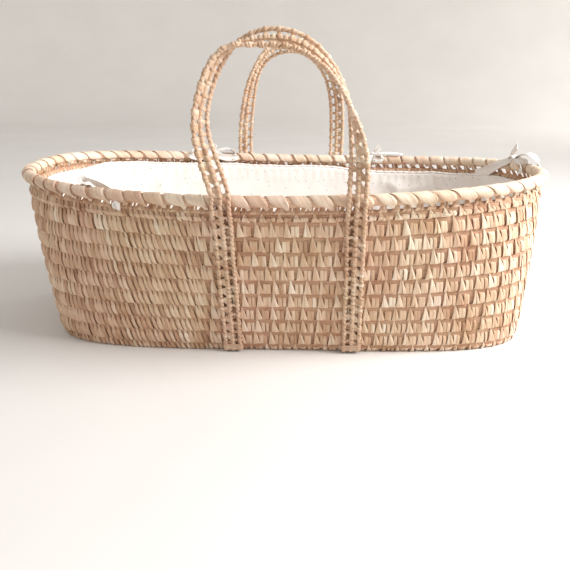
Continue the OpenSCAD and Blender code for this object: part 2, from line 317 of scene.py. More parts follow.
def cotton_material(name, colour, dots=True):
    """Soft cotton: a fine plain weave, a faint mottle and, on the liner, small scattered dots."""
    material, tree, shader = new_material(name, 0.88, 0.2)
    uv = node(tree, "ShaderNodeUVMap", uv_map="leaf").outputs["UV"]
    threads = [
        node(tree, "ShaderNodeTexWave", {"Vector": uv, "Scale": 330.0, "Distortion": 0.6, "Detail": 1.0},
             bands_direction=axis).outputs["Fac"]
        for axis in ("X", "Y")
    ]
    weave = node(tree, "ShaderNodeMath", {0: threads[0], 1: threads[1]}, operation="MAXIMUM").outputs[0]
    mottle = noise(tree, scaled(tree, uv, (30, 30, 1)), 4.0)
    darker = tuple(c * f for c, f in zip(colour, (0.95, 0.93, 0.91)))
    base = ramp(tree, mottle, [(0.3, darker), (0.7, colour)])
    base = tinted(tree, base, grey(tree, weave, 0.93, 1.0))
    if dots:
        cells = node(tree, "ShaderNodeTexVoronoi", {"Vector": uv, "Scale": 62.0, "Randomness": 0.95},
                     voronoi_dimensions="2D")
        inside = grey(tree, cells.outputs["Distance"], 1, 0, (0.05, 0.075))
        chosen = node(tree, "ShaderNodeSeparateColor", {"Color": cells.outputs["Color"]}).outputs["Red"]
        chosen = grey(tree, chosen, 0, 1, (0.38, 0.42))
        spot = node(tree, "ShaderNodeMath", {0: inside, 1: chosen}, operation="MULTIPLY").outputs[0]
        base = blended(tree, base, (0.42, 0.36, 0.31), spot)
    tree.links.new(base, shader.inputs["Base Color"])
    bumped(tree, shader, weave, 0.35, 0.0004)
    shader.inputs["Sheen Weight"].default_value = 0.25
    shader.inputs["Sheen Roughness"].default_value = 0.6
    return material


def foam_material():
    material, tree, shader = new_material("foam", 0.95, 0.1)
    place = node(tree, "ShaderNodeTexCoord").outputs["Object"]
    cells = node(tree, "ShaderNodeTexVoronoi", {"Vector": place, "Scale": 700.0}).outputs["Distance"]
    tree.links.new(ramp(tree, cells, [(0.1, (0.74, 0.71, 0.6)), (0.5, (0.9, 0.88, 0.78))]),
                   shader.inputs["Base Color"])
    bumped(tree, shader, cells, 0.6, 0.001)
    return material


STRAW = [(0.0, (0.44, 0.25, 0.155)), (0.4, (0.7, 0.48, 0.325)),
         (0.75, (0.87, 0.68, 0.51)), (1.0, (0.95, 0.84, 0.7))]
BARK = [(0.0, (0.3, 0.155, 0.1)), (0.4, (0.7, 0.46, 0.32)), (1.0, (0.84, 0.63, 0.47))]
ROPE = [(0.0, (0.33, 0.19, 0.12)), (0.35, (0.67, 0.48, 0.34)),
        (0.75, (0.82, 0.66, 0.51)), (1.0, (0.9, 0.8, 0.66))]
CREAM = [(0.0, (0.66, 0.45, 0.32)), (0.4, (0.86, 0.69, 0.54)), (1.0, (0.96, 0.88, 0.77))]
weave_leaf = leaf_material("weave_leaf", STRAW, roughness=0.56, shine=0.5)
core_leaf = leaf_material("core_leaf", BARK, roughness=0.75, fibre=1.4)
wrap_leaf = leaf_material("wrap_leaf", CREAM, roughness=0.5, fibre=0.8, shine=0.45)
cord_leaf = leaf_material("cord_leaf", ROPE, roughness=0.6, fibre=0.8)
liner_cotton = cotton_material("liner_cotton", (0.88, 0.83, 0.785))
tie_cotton = cotton_material("tie_cotton", (0.89, 0.84, 0.795))
cover_cotton = cotton_material("cover_cotton", (0.88, 0.845, 0.81), dots=False)
foam = foam_material()


# ---- camera, stage and light ----

def look(yaw, pitch, roll):
    yaw, pitch, roll = (math.radians(a) for a in (yaw, pitch, roll))
    ahead = Vector((math.sin(yaw) * math.cos(pitch), math.cos(yaw) * math.cos(pitch), math.sin(pitch)))
    right = Vector((math.cos(yaw), -math.sin(yaw), 0))
    up = right.cross(ahead)
    side = right * math.cos(roll) + up * math.sin(roll)
    top = up * math.cos(roll) - right * math.sin(roll)
    return Matrix((side, top, -ahead)).transposed()


camera_data = bpy.data.cameras.new("camera")
camera_data.lens = 35.29
camera_data.sensor_width = 36
camera = bpy.data.objects.new("camera", camera_data)
camera.matrix_world = Matrix.Translation((0.0228, -0.9435, 0.3976)) @ look(-1.2027, -20.2986, 0.4375).to_4x4()
bpy.context.scene.collection.objects.link(camera)
bpy.context.scene.camera = camera
bpy.context.scene.view_settings.view_transform = "Standard"


def stage_material():
    material, tree, shader = new_material("stage", 0.8, 0.2)
    place = node(tree, "ShaderNodeTexCoord").outputs["Object"]
    grain = noise(tree, place, 5.0, scale=3.0)
    tree.links.new(ramp(tree, grain, [(0.3, (0.72, 0.695, 0.665)), (0.7, (0.75, 0.725, 0.695))]),
                   shader.inputs["Base Color"])
    return material


def make_stage():
    """A floor that curves up into a backdrop all round, far outside the object."""
    radius, height, bend, sides = 6.0, 3.3, 1.5, 96
    profile = [(0.05, 0.0), (0.6, 0.0), (1.5, 0.0), (radius - bend, 0.0)]
    profile += [(radius - bend + bend * math.sin(a), bend - bend * math.cos(a))
                for a in np.linspace(0, math.pi / 2, 12)[1:]]
    profile.append((radius, height))
    points = [(r * math.cos(TAU * i / sides), r * math.sin(TAU * i / sides), z)
              for r, z in profile for i in range(sides)]
    faces = tube_faces(len(profile), sides)[:, ::-1]
    mesh = bpy.data.meshes.new("stage")
    mesh.from_pydata(points, [], [*faces.tolist(), list(range(sides))])
    mesh.materials.append(stage_material())
    mesh.shade_smooth()
    floor = bpy.data.objects.new("stage", mesh)
    bpy.context.scene.collection.objects.link(floor)


def area_light(name, place, target, size, power, colour):
    data = bpy.data.lights.new(name, "AREA")
    data.shape = "DISK"
    data.size = size
    data.energy = power
    data.color = colour
    lamp = bpy.data.objects.new(name, data)
    lamp.location = place
    lamp.rotation_euler = (Vector(target) - Vector(place)).to_track_quat("-Z", "Y").to_euler()
    bpy.context.scene.collection.objects.link(lamp)


def make_light():
    world = bpy.data.worlds.new("world")
    world.use_nodes = True
    world.node_tree.nodes["Background"].inputs["Color"].default_value = (1.0, 0.985, 0.96, 1)
    world.node_tree.nodes["Background"].inputs["Strength"].default_value = 0.7
    bpy.context.scene.world = world
    area_light("key", (1.75, -0.4, 1.35), (0.1, 0, 0.15), 1.2, 78, (0.985, 0.985, 1.0))
    area_light("backdrop", (4.4, 3.2, 2.2), (1.5, 6.0, 0.8), 2.0, 115, (1.0, 0.985, 0.97))


make_stage()
make_light()


# ---- the wall's courses ----

def course_span(k):
    low = FOOT_H + COURSE_PITCH * (k - 2)
    return low, (COURSE_TOP if k == COURSES else low + COURSE_PITCH)


STITCH = 22.8         # along a course from one stitch to the next
BAND = 6.0            # height of the bare band at a course's top


def slanting(t):
    """1 where the leaf was laid close and slanting, at the front left, and 0 elsewhere."""
    return smooth(np.cos(t - math.radians(212)), 0.7, 0.82)


def course_core(pile, place, low, high, length, rng):
    """The bundle of leaf that the stitches are sewn round."""
    columns = 300
    u = np.arange(columns) * length / columns
    mid = (low + high) / 2
    profile = np.array([(low - 0.2, -4.6), (low + 1.2, -2.0), (mid, -1.7), (high - 7.4, -1.5),
                        (high - 4.4, -1.4), (high - 0.6, -2.0), (high + 0.8, -4.4), (high - 1.5, -6.8),
                        (mid, -6.9), (low + 2, -6.8)])
    wobble = rng.normal(0, 0.16, (columns, len(profile)))
    points = place(u[:, None], profile[:, 0] + 0 * wobble, profile[:, 1] + wobble)
    pile.add(points[None], along_path(profile)[None, None], u[None, :, None], [0.35], closed=True)


def stitches(pile, place, angle_at, low, high, length, rng, band=BAND, last_off=-3.2):
    """The leaf stitches of one course: each is a neck over the band that fans out, and two flat strips."""
    count = int(round(length / STITCH))
    pitch = length / count
    start = (np.arange(count) + rng.uniform()) * pitch + rng.normal(0, 0.9, count)
    slant = slanting(angle_at(start))[:, None]
    shade = rng.normal(0, 0.09, count)
    drop = np.array([1.2, -0.5, -2.6, -band, -band - 1.6, -band - 5])
    z_top = high + drop
    z_low = low + np.array([5.5, 2.2, 0.4, -0.7, -0.3])
    z = np.concatenate([z_top, z_low])[None]
    way = np.clip((high - band * 0.7 - z) / (high - band * 0.7 - low), 0, 1)
    offs = np.array([-4.2, -1.2, -0.7, -0.4, 0.1, 0.8, 1.15, 1.2, 0.9, -0.6, last_off])[None]
    for part in range(4):
        fan = part < 2
        spread = rng.uniform(0.5, 1.15, (count, 1))
        g = way ** spread
        if fan:
            side = -1 if part == 0 else 1
            full = pitch * 0.255 + rng.normal(0, 0.4, (count, 1))
            width = mix(1.5, full, g)
            centre = side * mix(0.6, full / 2, g) + 1.4 * g
            top = z + rng.normal(0, 0.25, (count, 1))
            off = offs + rng.normal(0, 0.22, (count, 1)) + 0.25
            tilt = side * rng.uniform(-0.28, 0.1, count)
            tint = 0.74 + shade + rng.normal(0, 0.1, count)
        else:
            full = pitch * 0.235 + rng.normal(0, 0.45, (count, 1))
            width = full * np.where(way > 0, 1, 0.9)
            centre = pitch * (0.385 if part == 2 else 0.62) + rng.normal(0, 0.5, (count, 1)) + 0 * g
            shoulder = high - band + 0.3 + rng.normal(0, 0.3, (count, 1))
            square = np.minimum(z + rng.normal(0, 0.25, (count, 1)), shoulder - 0.35 * np.arange(11)[None])
            top = mix(square, z, slant)
            off = mix(np.where(way > 0, offs - 0.4, -2.4), offs, slant) + rng.normal(0, 0.25, (count, 1))
            off[:, 3] = mix(-1.0, -0.4, slant[:, 0])
            tilt = rng.normal(0, 0.07, count)
            tint = 0.62 + shade + rng.normal(0, 0.17, count)
        # at the front left, the close and slanting way of laying the same leaf
        even = pitch / 3 * (part % 3 - 0.4)
        lean = 5.5 * (high - top) / (high - low) + rng.normal(0, 0.5, (count, 1))
        plump = pitch / 3 * (0.55 + 0.36 * smooth(way, 0.0, 0.3) - 0.12 * smooth(way, 0.8, 1.0))
        width = mix(width, plump + rng.normal(0, 0.3, (count, 1)), slant)
        centre = mix(centre, even + lean, slant)
        off = off + slant * (0.7 * np.sin(np.pi * way) - 0.3 - (1.4 if part == 3 else 0))
        # painted shade: the strips at the front left, the side turned away from the key light, are made
        # darker, and the set-back second flat strip there darker still
        tint = tint - 0.1 * slant[:, 0] - 0.1 * (part == 3) * slant[:, 0]
        u = start[:, None] + centre
        top = top + rng.normal(0, 0.35, (count, 1)) * (way > 0.8)
        crown = rng.uniform(0.25, 0.55, count) + 1.1 * slant[:, 0]
        points, across = strips(place, u, top, off, width, crown, 0.7, tilt)
        along = (z + rng.uniform(0, LEAF, (count, 1)))[..., None]
        pile.add(points, across + cut_from(rng, count), along, np.clip(tint, 0, 1))


def wall_place(ring, face=1):
    """Where a course's u, v and off lie on the wall's outer face, or on its inner one for face -1."""
    def place(u, v, off):
        return wall(v, ring.angle(u), off if face == 1 else -WALL_T - off)
    return place


# the lowest course's section, from its top round under the edge: off and height
FOOT = np.array([(-0.4, 13.0), (0.0, 8.5), (-0.6, 4.6), (-2.6, 1.9), (-6.5, 1.3), (-14.5, 1.3)])


def foot_place(ring):
    steps = along_path(FOOT)

    def outline(at):
        return [np.interp(at, steps, FOOT[:, i]) for i in (0, 1)]

    def place(u, v, off):
        along = FOOT_H - np.asarray(v, float)
        p = outline(along)
        q = [after - before for before, after in zip(outline(along - 0.5), outline(along + 0.5))]
        size = np.maximum(np.hypot(*q), 1e-6)
        above = np.minimum(along, 0)
        z = p[1] + off * q[0] / size - above
        return wall(np.maximum(z, 0.25), ring.angle(u), p[0] - off * q[1] / size)
    return place


def make_wall():
    for k in range(1, COURSES + 1):
        rng = np.random.default_rng(100 + k)
        pile = Pile()
        core = Pile()
        low, high = course_span(k)
        if k == 1:
            # the lowest course's stitches run on round the wall's edge
            ring = Ring(6)
            low, high = -9.0, FOOT_H
            place = foot_place(ring)
            course_core(core, wall_place(ring), 3.0, FOOT_H, ring.length, rng)
        else:
            ring = Ring((low + high) / 2)
            place = wall_place(ring)
            course_core(core, place, low, high, ring.length, rng)
        stitches(pile, place, ring.angle, low, high, ring.length, rng)
        # the inner face shows above the liner on the top two courses only
        if k >= COURSES - 1:
            stitches(pile, wall_place(ring, -1), ring.angle, low, high, ring.length, rng, band=2.5)
        name = f"wall_course_{k:02d}"
        leaf = pile.build(name + "_stitches", weave_leaf)
        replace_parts(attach(leaf, "basket"), name)
        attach(core.build(name + "_bundle", core_leaf), "basket")


def base_place(ring, inset_edge):
    """The underside of the base: v runs inwards from the coil's outer edge, and off downwards."""
    def place(u, v, off):
        p = wall(0, ring.angle(u), -(inset_edge - v))
        p[..., 2] = np.maximum(2.4 - off, 0.25)
        return p
    return place


def unturned(u):
    """The base's stitches all lie the straight way, as at angle 0."""
    return 0 * u


def make_base():
    rng = np.random.default_rng(7)
    pile = Pile()
    core = Pile()
    half = BASE_W / 2
    for coil in range(BASE_COILS):
        inset = BASE_EDGE + COIL_W * coil - 2
        width = min(COIL_W, half - inset - 3)
        ring = Ring(0, inset + width / 2)
        place = base_place(ring, inset + width)
        stitches(pile, place, unturned, 0.0, width, ring.length, rng)
        columns = 200
        u = np.arange(columns) * ring.length / columns
        profile = np.array([(0.0, -0.5), (width * 0.3, -0.1), (width - 5, -0.3), (width - 0.3, -0.9),
                            (width - 0.3, -5.2), (0.0, -5.2)])
        points = place(u[:, None], profile[:, 0] + 0 * u[:, None], profile[:, 1] + 0 * u[:, None])
        core.add(points[None], along_path(profile)[None, None], u[None, :, None], [0.4], closed=True)
    under = pile.build("base_stitches", weave_leaf)
    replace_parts(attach(under, "basket"), "base_mat")
    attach(core.build("base_bundle", core_leaf), "basket")


make_wall()
make_base()


# ---- rim ----

rim_ring = Ring(WALL_H)


def rim_place(u, up, off):
    """A point off and up from the rim's centre line."""
    p = wall(WALL_H, rim_ring.angle(u), off)
    p[..., 2] += RIM_UP + up
    return p


def rim_core():
    pile = Pile()
    columns, sides = 900, 16
    u = np.arange(columns) * rim_ring.length / columns
    a = np.arange(sides) * TAU / sides
    ridge = 0.3 * np.abs(np.sin(u[:, None] * math.pi / 4.7 + a[None] * 0.6))
    radius = 6.9 + ridge
    points = rim_place(u[:, None] + 0 * a[None], radius * np.sin(a), radius * np.cos(a))
    pile.add(points[None], (a * 7)[None, None], u[None, :, None], [0.75], closed=True)
    rope = pile.build("rim_core_bundle", core_leaf, sharp=80)
    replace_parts(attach(rope, "basket"), "rim_core")


def rim_wraps():
    rng = np.random.default_rng(21)
    pile = Pile()
    count = int(round(rim_ring.length / 27.8))
    pitch = rim_ring.length / count
    start = np.arange(count) * pitch + rng.normal(0, 1.1, count)
    phi = np.radians(np.linspace(232, -68, 27))
    turn = np.degrees(phi)
    full = pitch * 0.86 + rng.normal(0, 1.0, (count, 1))
    inner = smooth(turn, 235, 195)[None]
    outer = smooth(turn, -75, 8)[None]
    width = full * mix(0.3, 1, inner) * mix(0.36, 1, outer)
    shift = -(turn - 90)[None] / 300 * pitch * rng.normal(1.0, 0.08, (count, 1))
    shift = shift + (full - width) * np.where(turn < 90, 0.2, -0.2)
    radius = 8.05 + rng.normal(0, 0.12, (count, 1)) - 0.7 * (1 - inner) - 0.5 * (1 - outer)
    off, up = radius * np.cos(phi), radius * np.sin(phi)
    # each end goes on a little way down into the open row
    off = np.concatenate([np.full((count, 1), -4.9), off, np.full((count, 1), 2.2)], axis=1)
    up = np.concatenate([np.full((count, 1), -8.6), up, np.full((count, 1), -10.8)], axis=1)
    width = np.concatenate([width[:, :1] * 0.8, width, width[:, -1:] * 0.45], axis=1)
    shift = np.concatenate([shift[:, :1], shift, shift[:, -1:] + 1.2], axis=1)
    u = start[:, None] + shift
    # the crown stands out from the rim's centre line, so each section is laid along its own radius
    length = np.maximum(np.hypot(off, up), 1e-6)
    out_off, out_up = off / length, up / length
    folds = rng.normal(0, 0.26, (count, 1, len(BROAD)))
    across = width[..., None] * BROAD[:, 0]
    out = 1.15 * BROAD[:, 1] - 0.7 * BROAD[:, 2] + folds * (BROAD[:, 2] == 0)
    out = out * np.clip(width / 14, 0.3, 1)[..., None]
    points = rim_place(u[..., None] + across, up[..., None] + out * out_up[..., None],
                       off[..., None] + out * out_off[..., None])
    along = np.concatenate([[0], np.cumsum(np.hypot(np.diff(off[0]), np.diff(up[0])))])[None, :, None]
    pile.add(points, across + cut_from(rng, count), along + cut_from(rng, count),
             np.clip(rng.normal(0.62, 0.14, count), 0, 1))
    wraps = pile.build("rim_wraps", wrap_leaf, sharp=60)
    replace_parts(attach(wraps, "basket"), "rim_wrap")


def rim_lashings():
    rng = np.random.default_rng(33)
    pile = Pile()
    count = int(round(rim_ring.length / 17.4))
    pitch = rim_ring.length / count
    start = np.arange(count) * pitch + rng.normal(0, 0.7, count)
    way = np.linspace(0, 1, 7)[None]
    strands = [(-3.6, 2.2, 4.4), (0.6, 3.6, 4.0), (4.6, 6.4, 3.6), (8.2, 9.0, 3.8), (11.2, 12.2, 3.6)]
    for strand, (foot, head, width) in enumerate(strands):
        # the lashings stand apart at the right, where light shows between them
        keep = (np.cos(rim_ring.angle(start)) < 0.25) | (strand < 3)
        first = start[keep][:, None]
        u = first + mix(foot, head, way) + rng.normal(0, 0.5, first.shape)
        z = mix(-16.6, -5.8, way)
        off = np.interp(way, [0, 0.25, 0.55, 1], [-0.6, 0.5 - 0.2 * strand, -2.0, -3.2]) + 0 * u
        wide = width * (1.1 - 0.25 * way) + rng.normal(0, 0.3, first.shape)
        points, across = strips(rim_place, u, z, off, wide, 0.7, 0.9)
        pile.add(points, across + cut_from(rng, len(first)), (z + 0 * u)[..., None],
                 np.clip(rng.normal(0.45, 0.15, len(first)), 0, 1))
    leaf = pile.build("rim_lashings", weave_leaf)
    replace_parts(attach(leaf, "basket"), "rim_lashing")


rim_core()
rim_wraps()
rim_lashings()


# ---- handles ----

def hermite(knots, values, x):
    """A smooth curve through values at knots."""
    values = np.asarray(values, float)
    slopes = np.gradient(values, knots, axis=0)
    i = np.clip(np.searchsorted(knots, x, side="right") - 1, 0, len(knots) - 2)
    h = (knots[i + 1] - knots[i])[:, None]
    s = ((x - knots[i]) / h[:, 0])[:, None]
    return ((2 * s**3 - 3 * s**2 + 1) * values[i] + (s**3 - 2 * s**2 + s) * h * slopes[i]
            + (3 * s**2 - 2 * s**3) * values[i + 1] + (s**3 - s**2) * h * slopes[i + 1])


def leg_point(leg, side, z):
    """The centre line of a leg on the wall, as in the CAD source."""
    x = mix(leg[1], leg[0], z / 238)
    s = z / WALL_H
    rise = smooth(z, WALL_H - 24, WALL_H - 2)
    off = mix(4.0, 12.2, rise)
    a, b, n = mix(BASE_L, RIM_L, s) / 2 + off, mix(BASE_W, RIM_W, s) / 2 + off, mix(BASE_N, RIM_N, s)
    u = (x - RIM_LEAN * (1 - s)) / a
    return x, side * b * (1 - abs(u) ** n) ** (1 / n), s * (WALL_H + END_RISE * u * u - RIM_WARP * u * side)


class Strap:
    """A handle's strap from foot to foot: its centre line, and its width and outward directions."""

    def __init__(self, route, left, right, side):
        heights = np.array([3.2, 30, 60, 90, 120, 150, 180, 205, 218, 228, 237])
        up = [(*leg_point(left, side, z), 0) for z in heights]
        down = [(*leg_point(right, side, z), 0) for z in heights[::-1]]
        knots = np.array(up + list(route) + down, float)
        chord = along_path(knots[:, :3])
        fine = np.arange(0, chord[-1], 0.5)
        path = hermite(chord, knots, fine)
        self.s = along_path(path[:, :3])
        self.length = self.s[-1]
        self.point = path[:, :3]
        tangent = np.gradient(self.point, self.s, axis=0)
        self.tangent = tangent / norms(tangent)[:, None]
        width = np.cross([0.0, 1.0, 0.0], self.tangent)
        width /= norms(width)[:, None]
        turn = np.radians(path[:, 3])[:, None]
        self.width = width * np.cos(turn) + np.cross(self.tangent, width) * np.sin(turn)
        self.out = np.cross(self.tangent, self.width) * (1 if side > 0 else -1)
        split = np.array([leg_point(left, side, 237)[2], leg_point(right, side, 237)[2]])
        half = len(self.point) // 2
        self.rise = np.interp(split[0], self.point[:half, 2], self.s[:half])
        self.fall = np.interp(-split[1], -self.point[half:, 2], self.s[half:])

    def at(self, s, values):
        return np.stack([np.interp(s, self.s, values[:, i]) for i in range(3)], -1)

    def place(self, s, a, n):
        """The point a across and n out from the centre line at s."""
        s, a, n = np.broadcast_arrays(s, a, n)
        return (self.at(s, self.point) + self.at(s, self.width) * a[..., None]
                + self.at(s, self.out) * n[..., None])


def strap_cords(pile, strap, start, end, rng):
    """Three cords, each wrapped round with narrow leaf."""
    step, sides, lay = 1.1, 12, 13
    rings = int((end - start) / step) + 1
    s = np.linspace(start, end, rings)[:, None]
    c = np.arange(sides)[None]
    first = int(start / step)
    turns = 2 * (c / sides - (first + np.arange(rings))[:, None] / lay)
    bulge = np.abs(np.sin(math.pi * turns)) ** 0.7
    radius = 1.95 + 1.2 * bulge
    a = TAU * c / sides
    for i, shift in enumerate((-CORD_PITCH, 0, CORD_PITCH)):
        wander = 0.35 * np.sin(s / 23 + 2 * i)
        points = strap.place(s + 0 * a, shift + wander + radius * np.cos(a), radius * np.sin(a))
        # painted highlight and shade: the tint is lighter on the crest of each twisted strand and darker in
        # the grooves between strands; the slow swing along the cord and the noise are the leaf's own tone
        tint = 0.1 + 0.55 * bulge + 0.1 * np.sin(s / 31 + i) + rng.normal(0, 0.05, bulge.shape)
        pile.add(points[None], (a * CORD_R)[None], s[None], np.clip(tint, 0, 1)[None])


def lace(pile, strap, at, centre, reach, edges, rng):
    """Leaf turns round two neighbouring cords, crossing between them; edges gives each turn's two sides."""
    over = np.radians([215, 180, 140, 90, 45, 5])
    under = np.radians([175, 215, 270, 315, 360, 385])
    path = np.concatenate([
        np.stack([-CORD_PITCH / 2 + reach * np.cos(over), reach * np.sin(over)], -1),
        np.stack([CORD_PITCH / 2 + reach * np.cos(under), reach * np.sin(under)], -1)])
    ahead = np.gradient(path, axis=0)
    normal = np.stack([-ahead[:, 1], ahead[:, 0]], -1) / norms(ahead)[:, None]
    for flip in (1, -1):
        a = centre + flip * path[:, 0]
        low, high = edges(np.clip((a - centre) / 2.5, -1, 1))
        # wide between the cords, and gathered where it turns round them
        gathered = mix(1, 3.8 / (high - low), smooth(np.abs(a - centre), 2.6, 5.5))
        width = ((high - low) * np.minimum(gathered, 1))[None, :, None] * NARROW[:, 0]
        s = (at + rng.normal(0, 0.3, len(at)))[:, None, None] + ((low + high) / 2)[None, :, None] + width
        out = 0.4 * NARROW[:, 1] - 0.6 * NARROW[:, 2] + 0.12 * flip
        points = strap.place(s, a[None, :, None] + flip * normal[None, :, 0, None] * out,
                             path[None, :, 1, None] + normal[None, :, 1, None] * out)
        along = (np.arange(len(path)) * 2.2)[None, :, None]
        pile.add(points, width + cut_from(rng, len(at)), along + cut_from(rng, len(at)),
                 np.clip(rng.normal(0.6, 0.16, len(at)), 0, 1))


LACE_PITCH = 16.0


def rung_edges(r):
    return 0.5 + 0 * r, 4.9 + 0 * r


def fan_edges(part, r):
    """The edges of one of the two turns of a fan, for r from -1 to 1 across it."""
    low, wide = 5.2 - 3.0 * r, (LACE_PITCH - 5.2 + 3.0 * r) / 2
    return low + wide * part - 0.3, low + wide * (part + 1) + 0.3


def strap_lacing(pile, strap, start, end, rng):
    """Open rungs between the inner cords, and fans that leave small slanting slits between the outer ones."""
    first, last = math.ceil(start / LACE_PITCH), math.floor((end - 0.01) / LACE_PITCH)
    at = np.arange(first - 1, last + 1) * LACE_PITCH
    turns = [(CORD_PITCH / 2, 3.5, rung_edges), (-CORD_PITCH / 2, 3.25, partial(fan_edges, 0)),
             (-CORD_PITCH / 2, 3.45, partial(fan_edges, 1))]
    for centre, reach, edges in turns:
        low = min(np.min(e) for e in edges(np.array([-1.0, 1.0])))
        high = max(np.max(e) for e in edges(np.array([-1.0, 1.0])))
        keep = at[(at + low > start + 0.8) & (at + high < end - 0.8)]
        if len(keep):
            lace(pile, strap, keep, centre, reach, edges, rng)


def whip(pile, strap, s, rng):
    """A binding across the strap where it is sewn down at its foot."""
    path = np.array([(-15, -1.5), (-14.6, 2.2), (-11, 3.9), (-5.5, 2.2), (0, 3.9), (5.5, 2.2), (11, 3.9),
                     (14.6, 2.2), (15, -1.5)])
    at = s + np.arange(3) * 3.6
    across = 3.4 * NARROW[:, 0]
    out = 0.4 * NARROW[:, 1] - 0.7 * NARROW[:, 2]
    points = strap.place(at[:, None, None] + across, path[None, :, 0, None] + 0 * across,
                         path[None, :, 1, None] + out)
    pile.add(points, across + cut_from(rng, 3), np.arange(9)[None, :, None] * 4.0, [0.6, 0.7, 0.5])


def make_handle(side_name, route, side):
    rng = np.random.default_rng(55 + side)
    strap = Strap(route, LEGS[side_name + "_left"], LEGS[side_name + "_right"], side)
    spans = {"left_leg": (0.0, strap.rise), "arch": (strap.rise, strap.fall),
             "right_leg": (strap.fall, strap.length)}
    for part, (start, end) in spans.items():
        cords, lacing = Pile(), Pile()
        strap_cords(cords, strap, start, end, rng)
        strap_lacing(lacing, strap, start, end, rng)
        if part == "left_leg":
            whip(lacing, strap, 3.0, rng)
        if part == "right_leg":
            whip(lacing, strap, strap.length - 11.0, rng)
        name = f"{side_name}_{part}"
        made = (cords.build(name + "_wrapped_cords", cord_leaf, sharp=75),
                lacing.build(name + "_laced_leaf", cord_leaf))
        if part == "arch":
            nodes = [f"{name}_{c}_cord" for c in ("outer", "centre", "inner")], [name + "_lacing"]
        else:
            nodes = [name + "_cords"], [name + "_lacing"]
        for piece, replaced in zip(made, nodes):
            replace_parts(piece, *replaced)
            if part == "arch":
                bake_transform(piece)
            else:
                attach(piece, "basket")


make_handle("front", FRONT_ROUTE, -1)
make_handle("back", BACK_ROUTE, 1)


# ---- liner ----

def waves(u, v, seed, size):
    """Smooth seamless noise, about -1 to 1, for u once round the basket."""
    count = 7
    rng = np.random.default_rng(seed)
    total = np.zeros(np.broadcast(u, v).shape)
    for _ in range(count):
        turns = rng.integers(1, max(2, int(2 * rim_ring.length / size)))
        slope = rng.uniform(-1, 1)
        total = total + np.sin(TAU * (turns * u / liner_ring.length + slope * v / size) + rng.uniform(0, TAU))
    return total / math.sqrt(count / 2) * 0.6


liner_ring = Ring(180, inset=-LINER_OUT + LINER_T)


def liner_top(u):
    """The height of the liner's edge, which is pulled up higher along the back."""
    t = np.degrees(liner_ring.angle(u))
    high = 8.5 * smooth(t, 62, 84) * smooth(-t, -158, -140)
    scallops = np.abs(np.sin(u * math.pi * 30 / liner_ring.length))
    return LINER_TOP - 1.5 + high - 1.2 * waves(u, 0 * u, 3, 160) - scallops


def fold(u, v, seed, angle, wavelength, strength):
    """Soft ridges that run at an angle and come and go."""
    drift = 1.1 * waves(u, v, seed, 240)
    turns = round(liner_ring.length * math.cos(angle) / wavelength)
    phase = math.pi * (turns * u / liner_ring.length + math.sin(angle) * v / wavelength) + 1.3 * drift
    ridge = (1 - np.abs(np.sin(phase))) ** 1.7
    return strength * ridge * smooth(waves(u, v, seed + 1, 330), -0.1, 0.7)


def make_liner():
    columns, rows = 620, 64
    u = (np.arange(columns) * liner_ring.length / columns)[:, None]
    top = liner_top(u)
    inner_off = LINER_OUT - LINER_T
    roll = LINER_T / 2 - 0.3
    sweep = np.linspace(0, math.pi, 9)[1:-1]
    outer_z = np.array([LINER_LOW, 70, 130, 180, 212.0])
    outer = [(z + 0 * u, LINER_OUT + 0 * u) for z in outer_z]
    crown = [(top - roll + roll * math.sin(a), LINER_OUT - roll - 0.3 + roll * math.cos(a) + 0 * u)
             for a in sweep]
    inner = []
    for i in range(rows):
        share = i / (rows - 1)
        z = mix(top - roll, LINER_LOW + 0 * u, share)
        puff = 1.6 * np.sin(np.pi * share) ** 0.7
        soft = smooth(share, 0.0, 0.12) * smooth(share, 1.0, 0.86)
        folds = fold(u, z, 11, 0.9, 62, 2.8) + fold(u, z, 12, -0.75, 78, 2.4) + fold(u, z, 14, 1.35, 120, 2.2)
        pleats = np.abs(np.sin(u * math.pi * 120 / liner_ring.length + waves(u, z, 9, 200)))
        gathers = 0.9 * pleats * smooth(share, 0.16, 0.0)
        inner.append((z, inner_off - puff - soft * folds - gathers + 0.8))
    section = outer + crown + inner
    z = np.concatenate([p[0] for p in section], axis=1)
    off = np.concatenate([p[1] for p in section], axis=1)
    points = wall(z, liner_ring.angle(u), off)
    across = np.concatenate([[0], np.cumsum(np.hypot(np.diff(z[0]), np.diff(off[0])))])
    pile = Pile()
    pile.add(points[None], across[None, None], u[None], [0.5], closed=True)
    liner = pile.build("liner_padding", liner_cotton, sharp=180)
    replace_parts(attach(liner, "basket"), "liner_wall")


def make_hem():
    """The stitched, slightly gathered edge that holds the liner up."""
    columns, sides = 1400, 10
    u = (np.arange(columns) * liner_ring.length / columns)[:, None]
    a = (np.arange(sides) * TAU / sides)[None]
    gather = 0.35 * np.sin(u * math.pi * 2 * 150 / liner_ring.length + waves(u, 0 * u, 41, 120))
    radius = 2.1 + gather
    z = liner_top(u) + 1.2 + radius * np.sin(a)
    off = LINER_OUT - LINER_T / 2 + radius * 1.25 * np.cos(a)
    points = wall(z, liner_ring.angle(u) + 0 * a, off)
    pile = Pile()
    pile.add(points[None], (a * 2.4)[None], u[None], [0.5], closed=True)
    hem = pile.build("liner_hem", liner_cotton, sharp=180)
    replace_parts(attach(hem, "basket"), "liner_top_band")


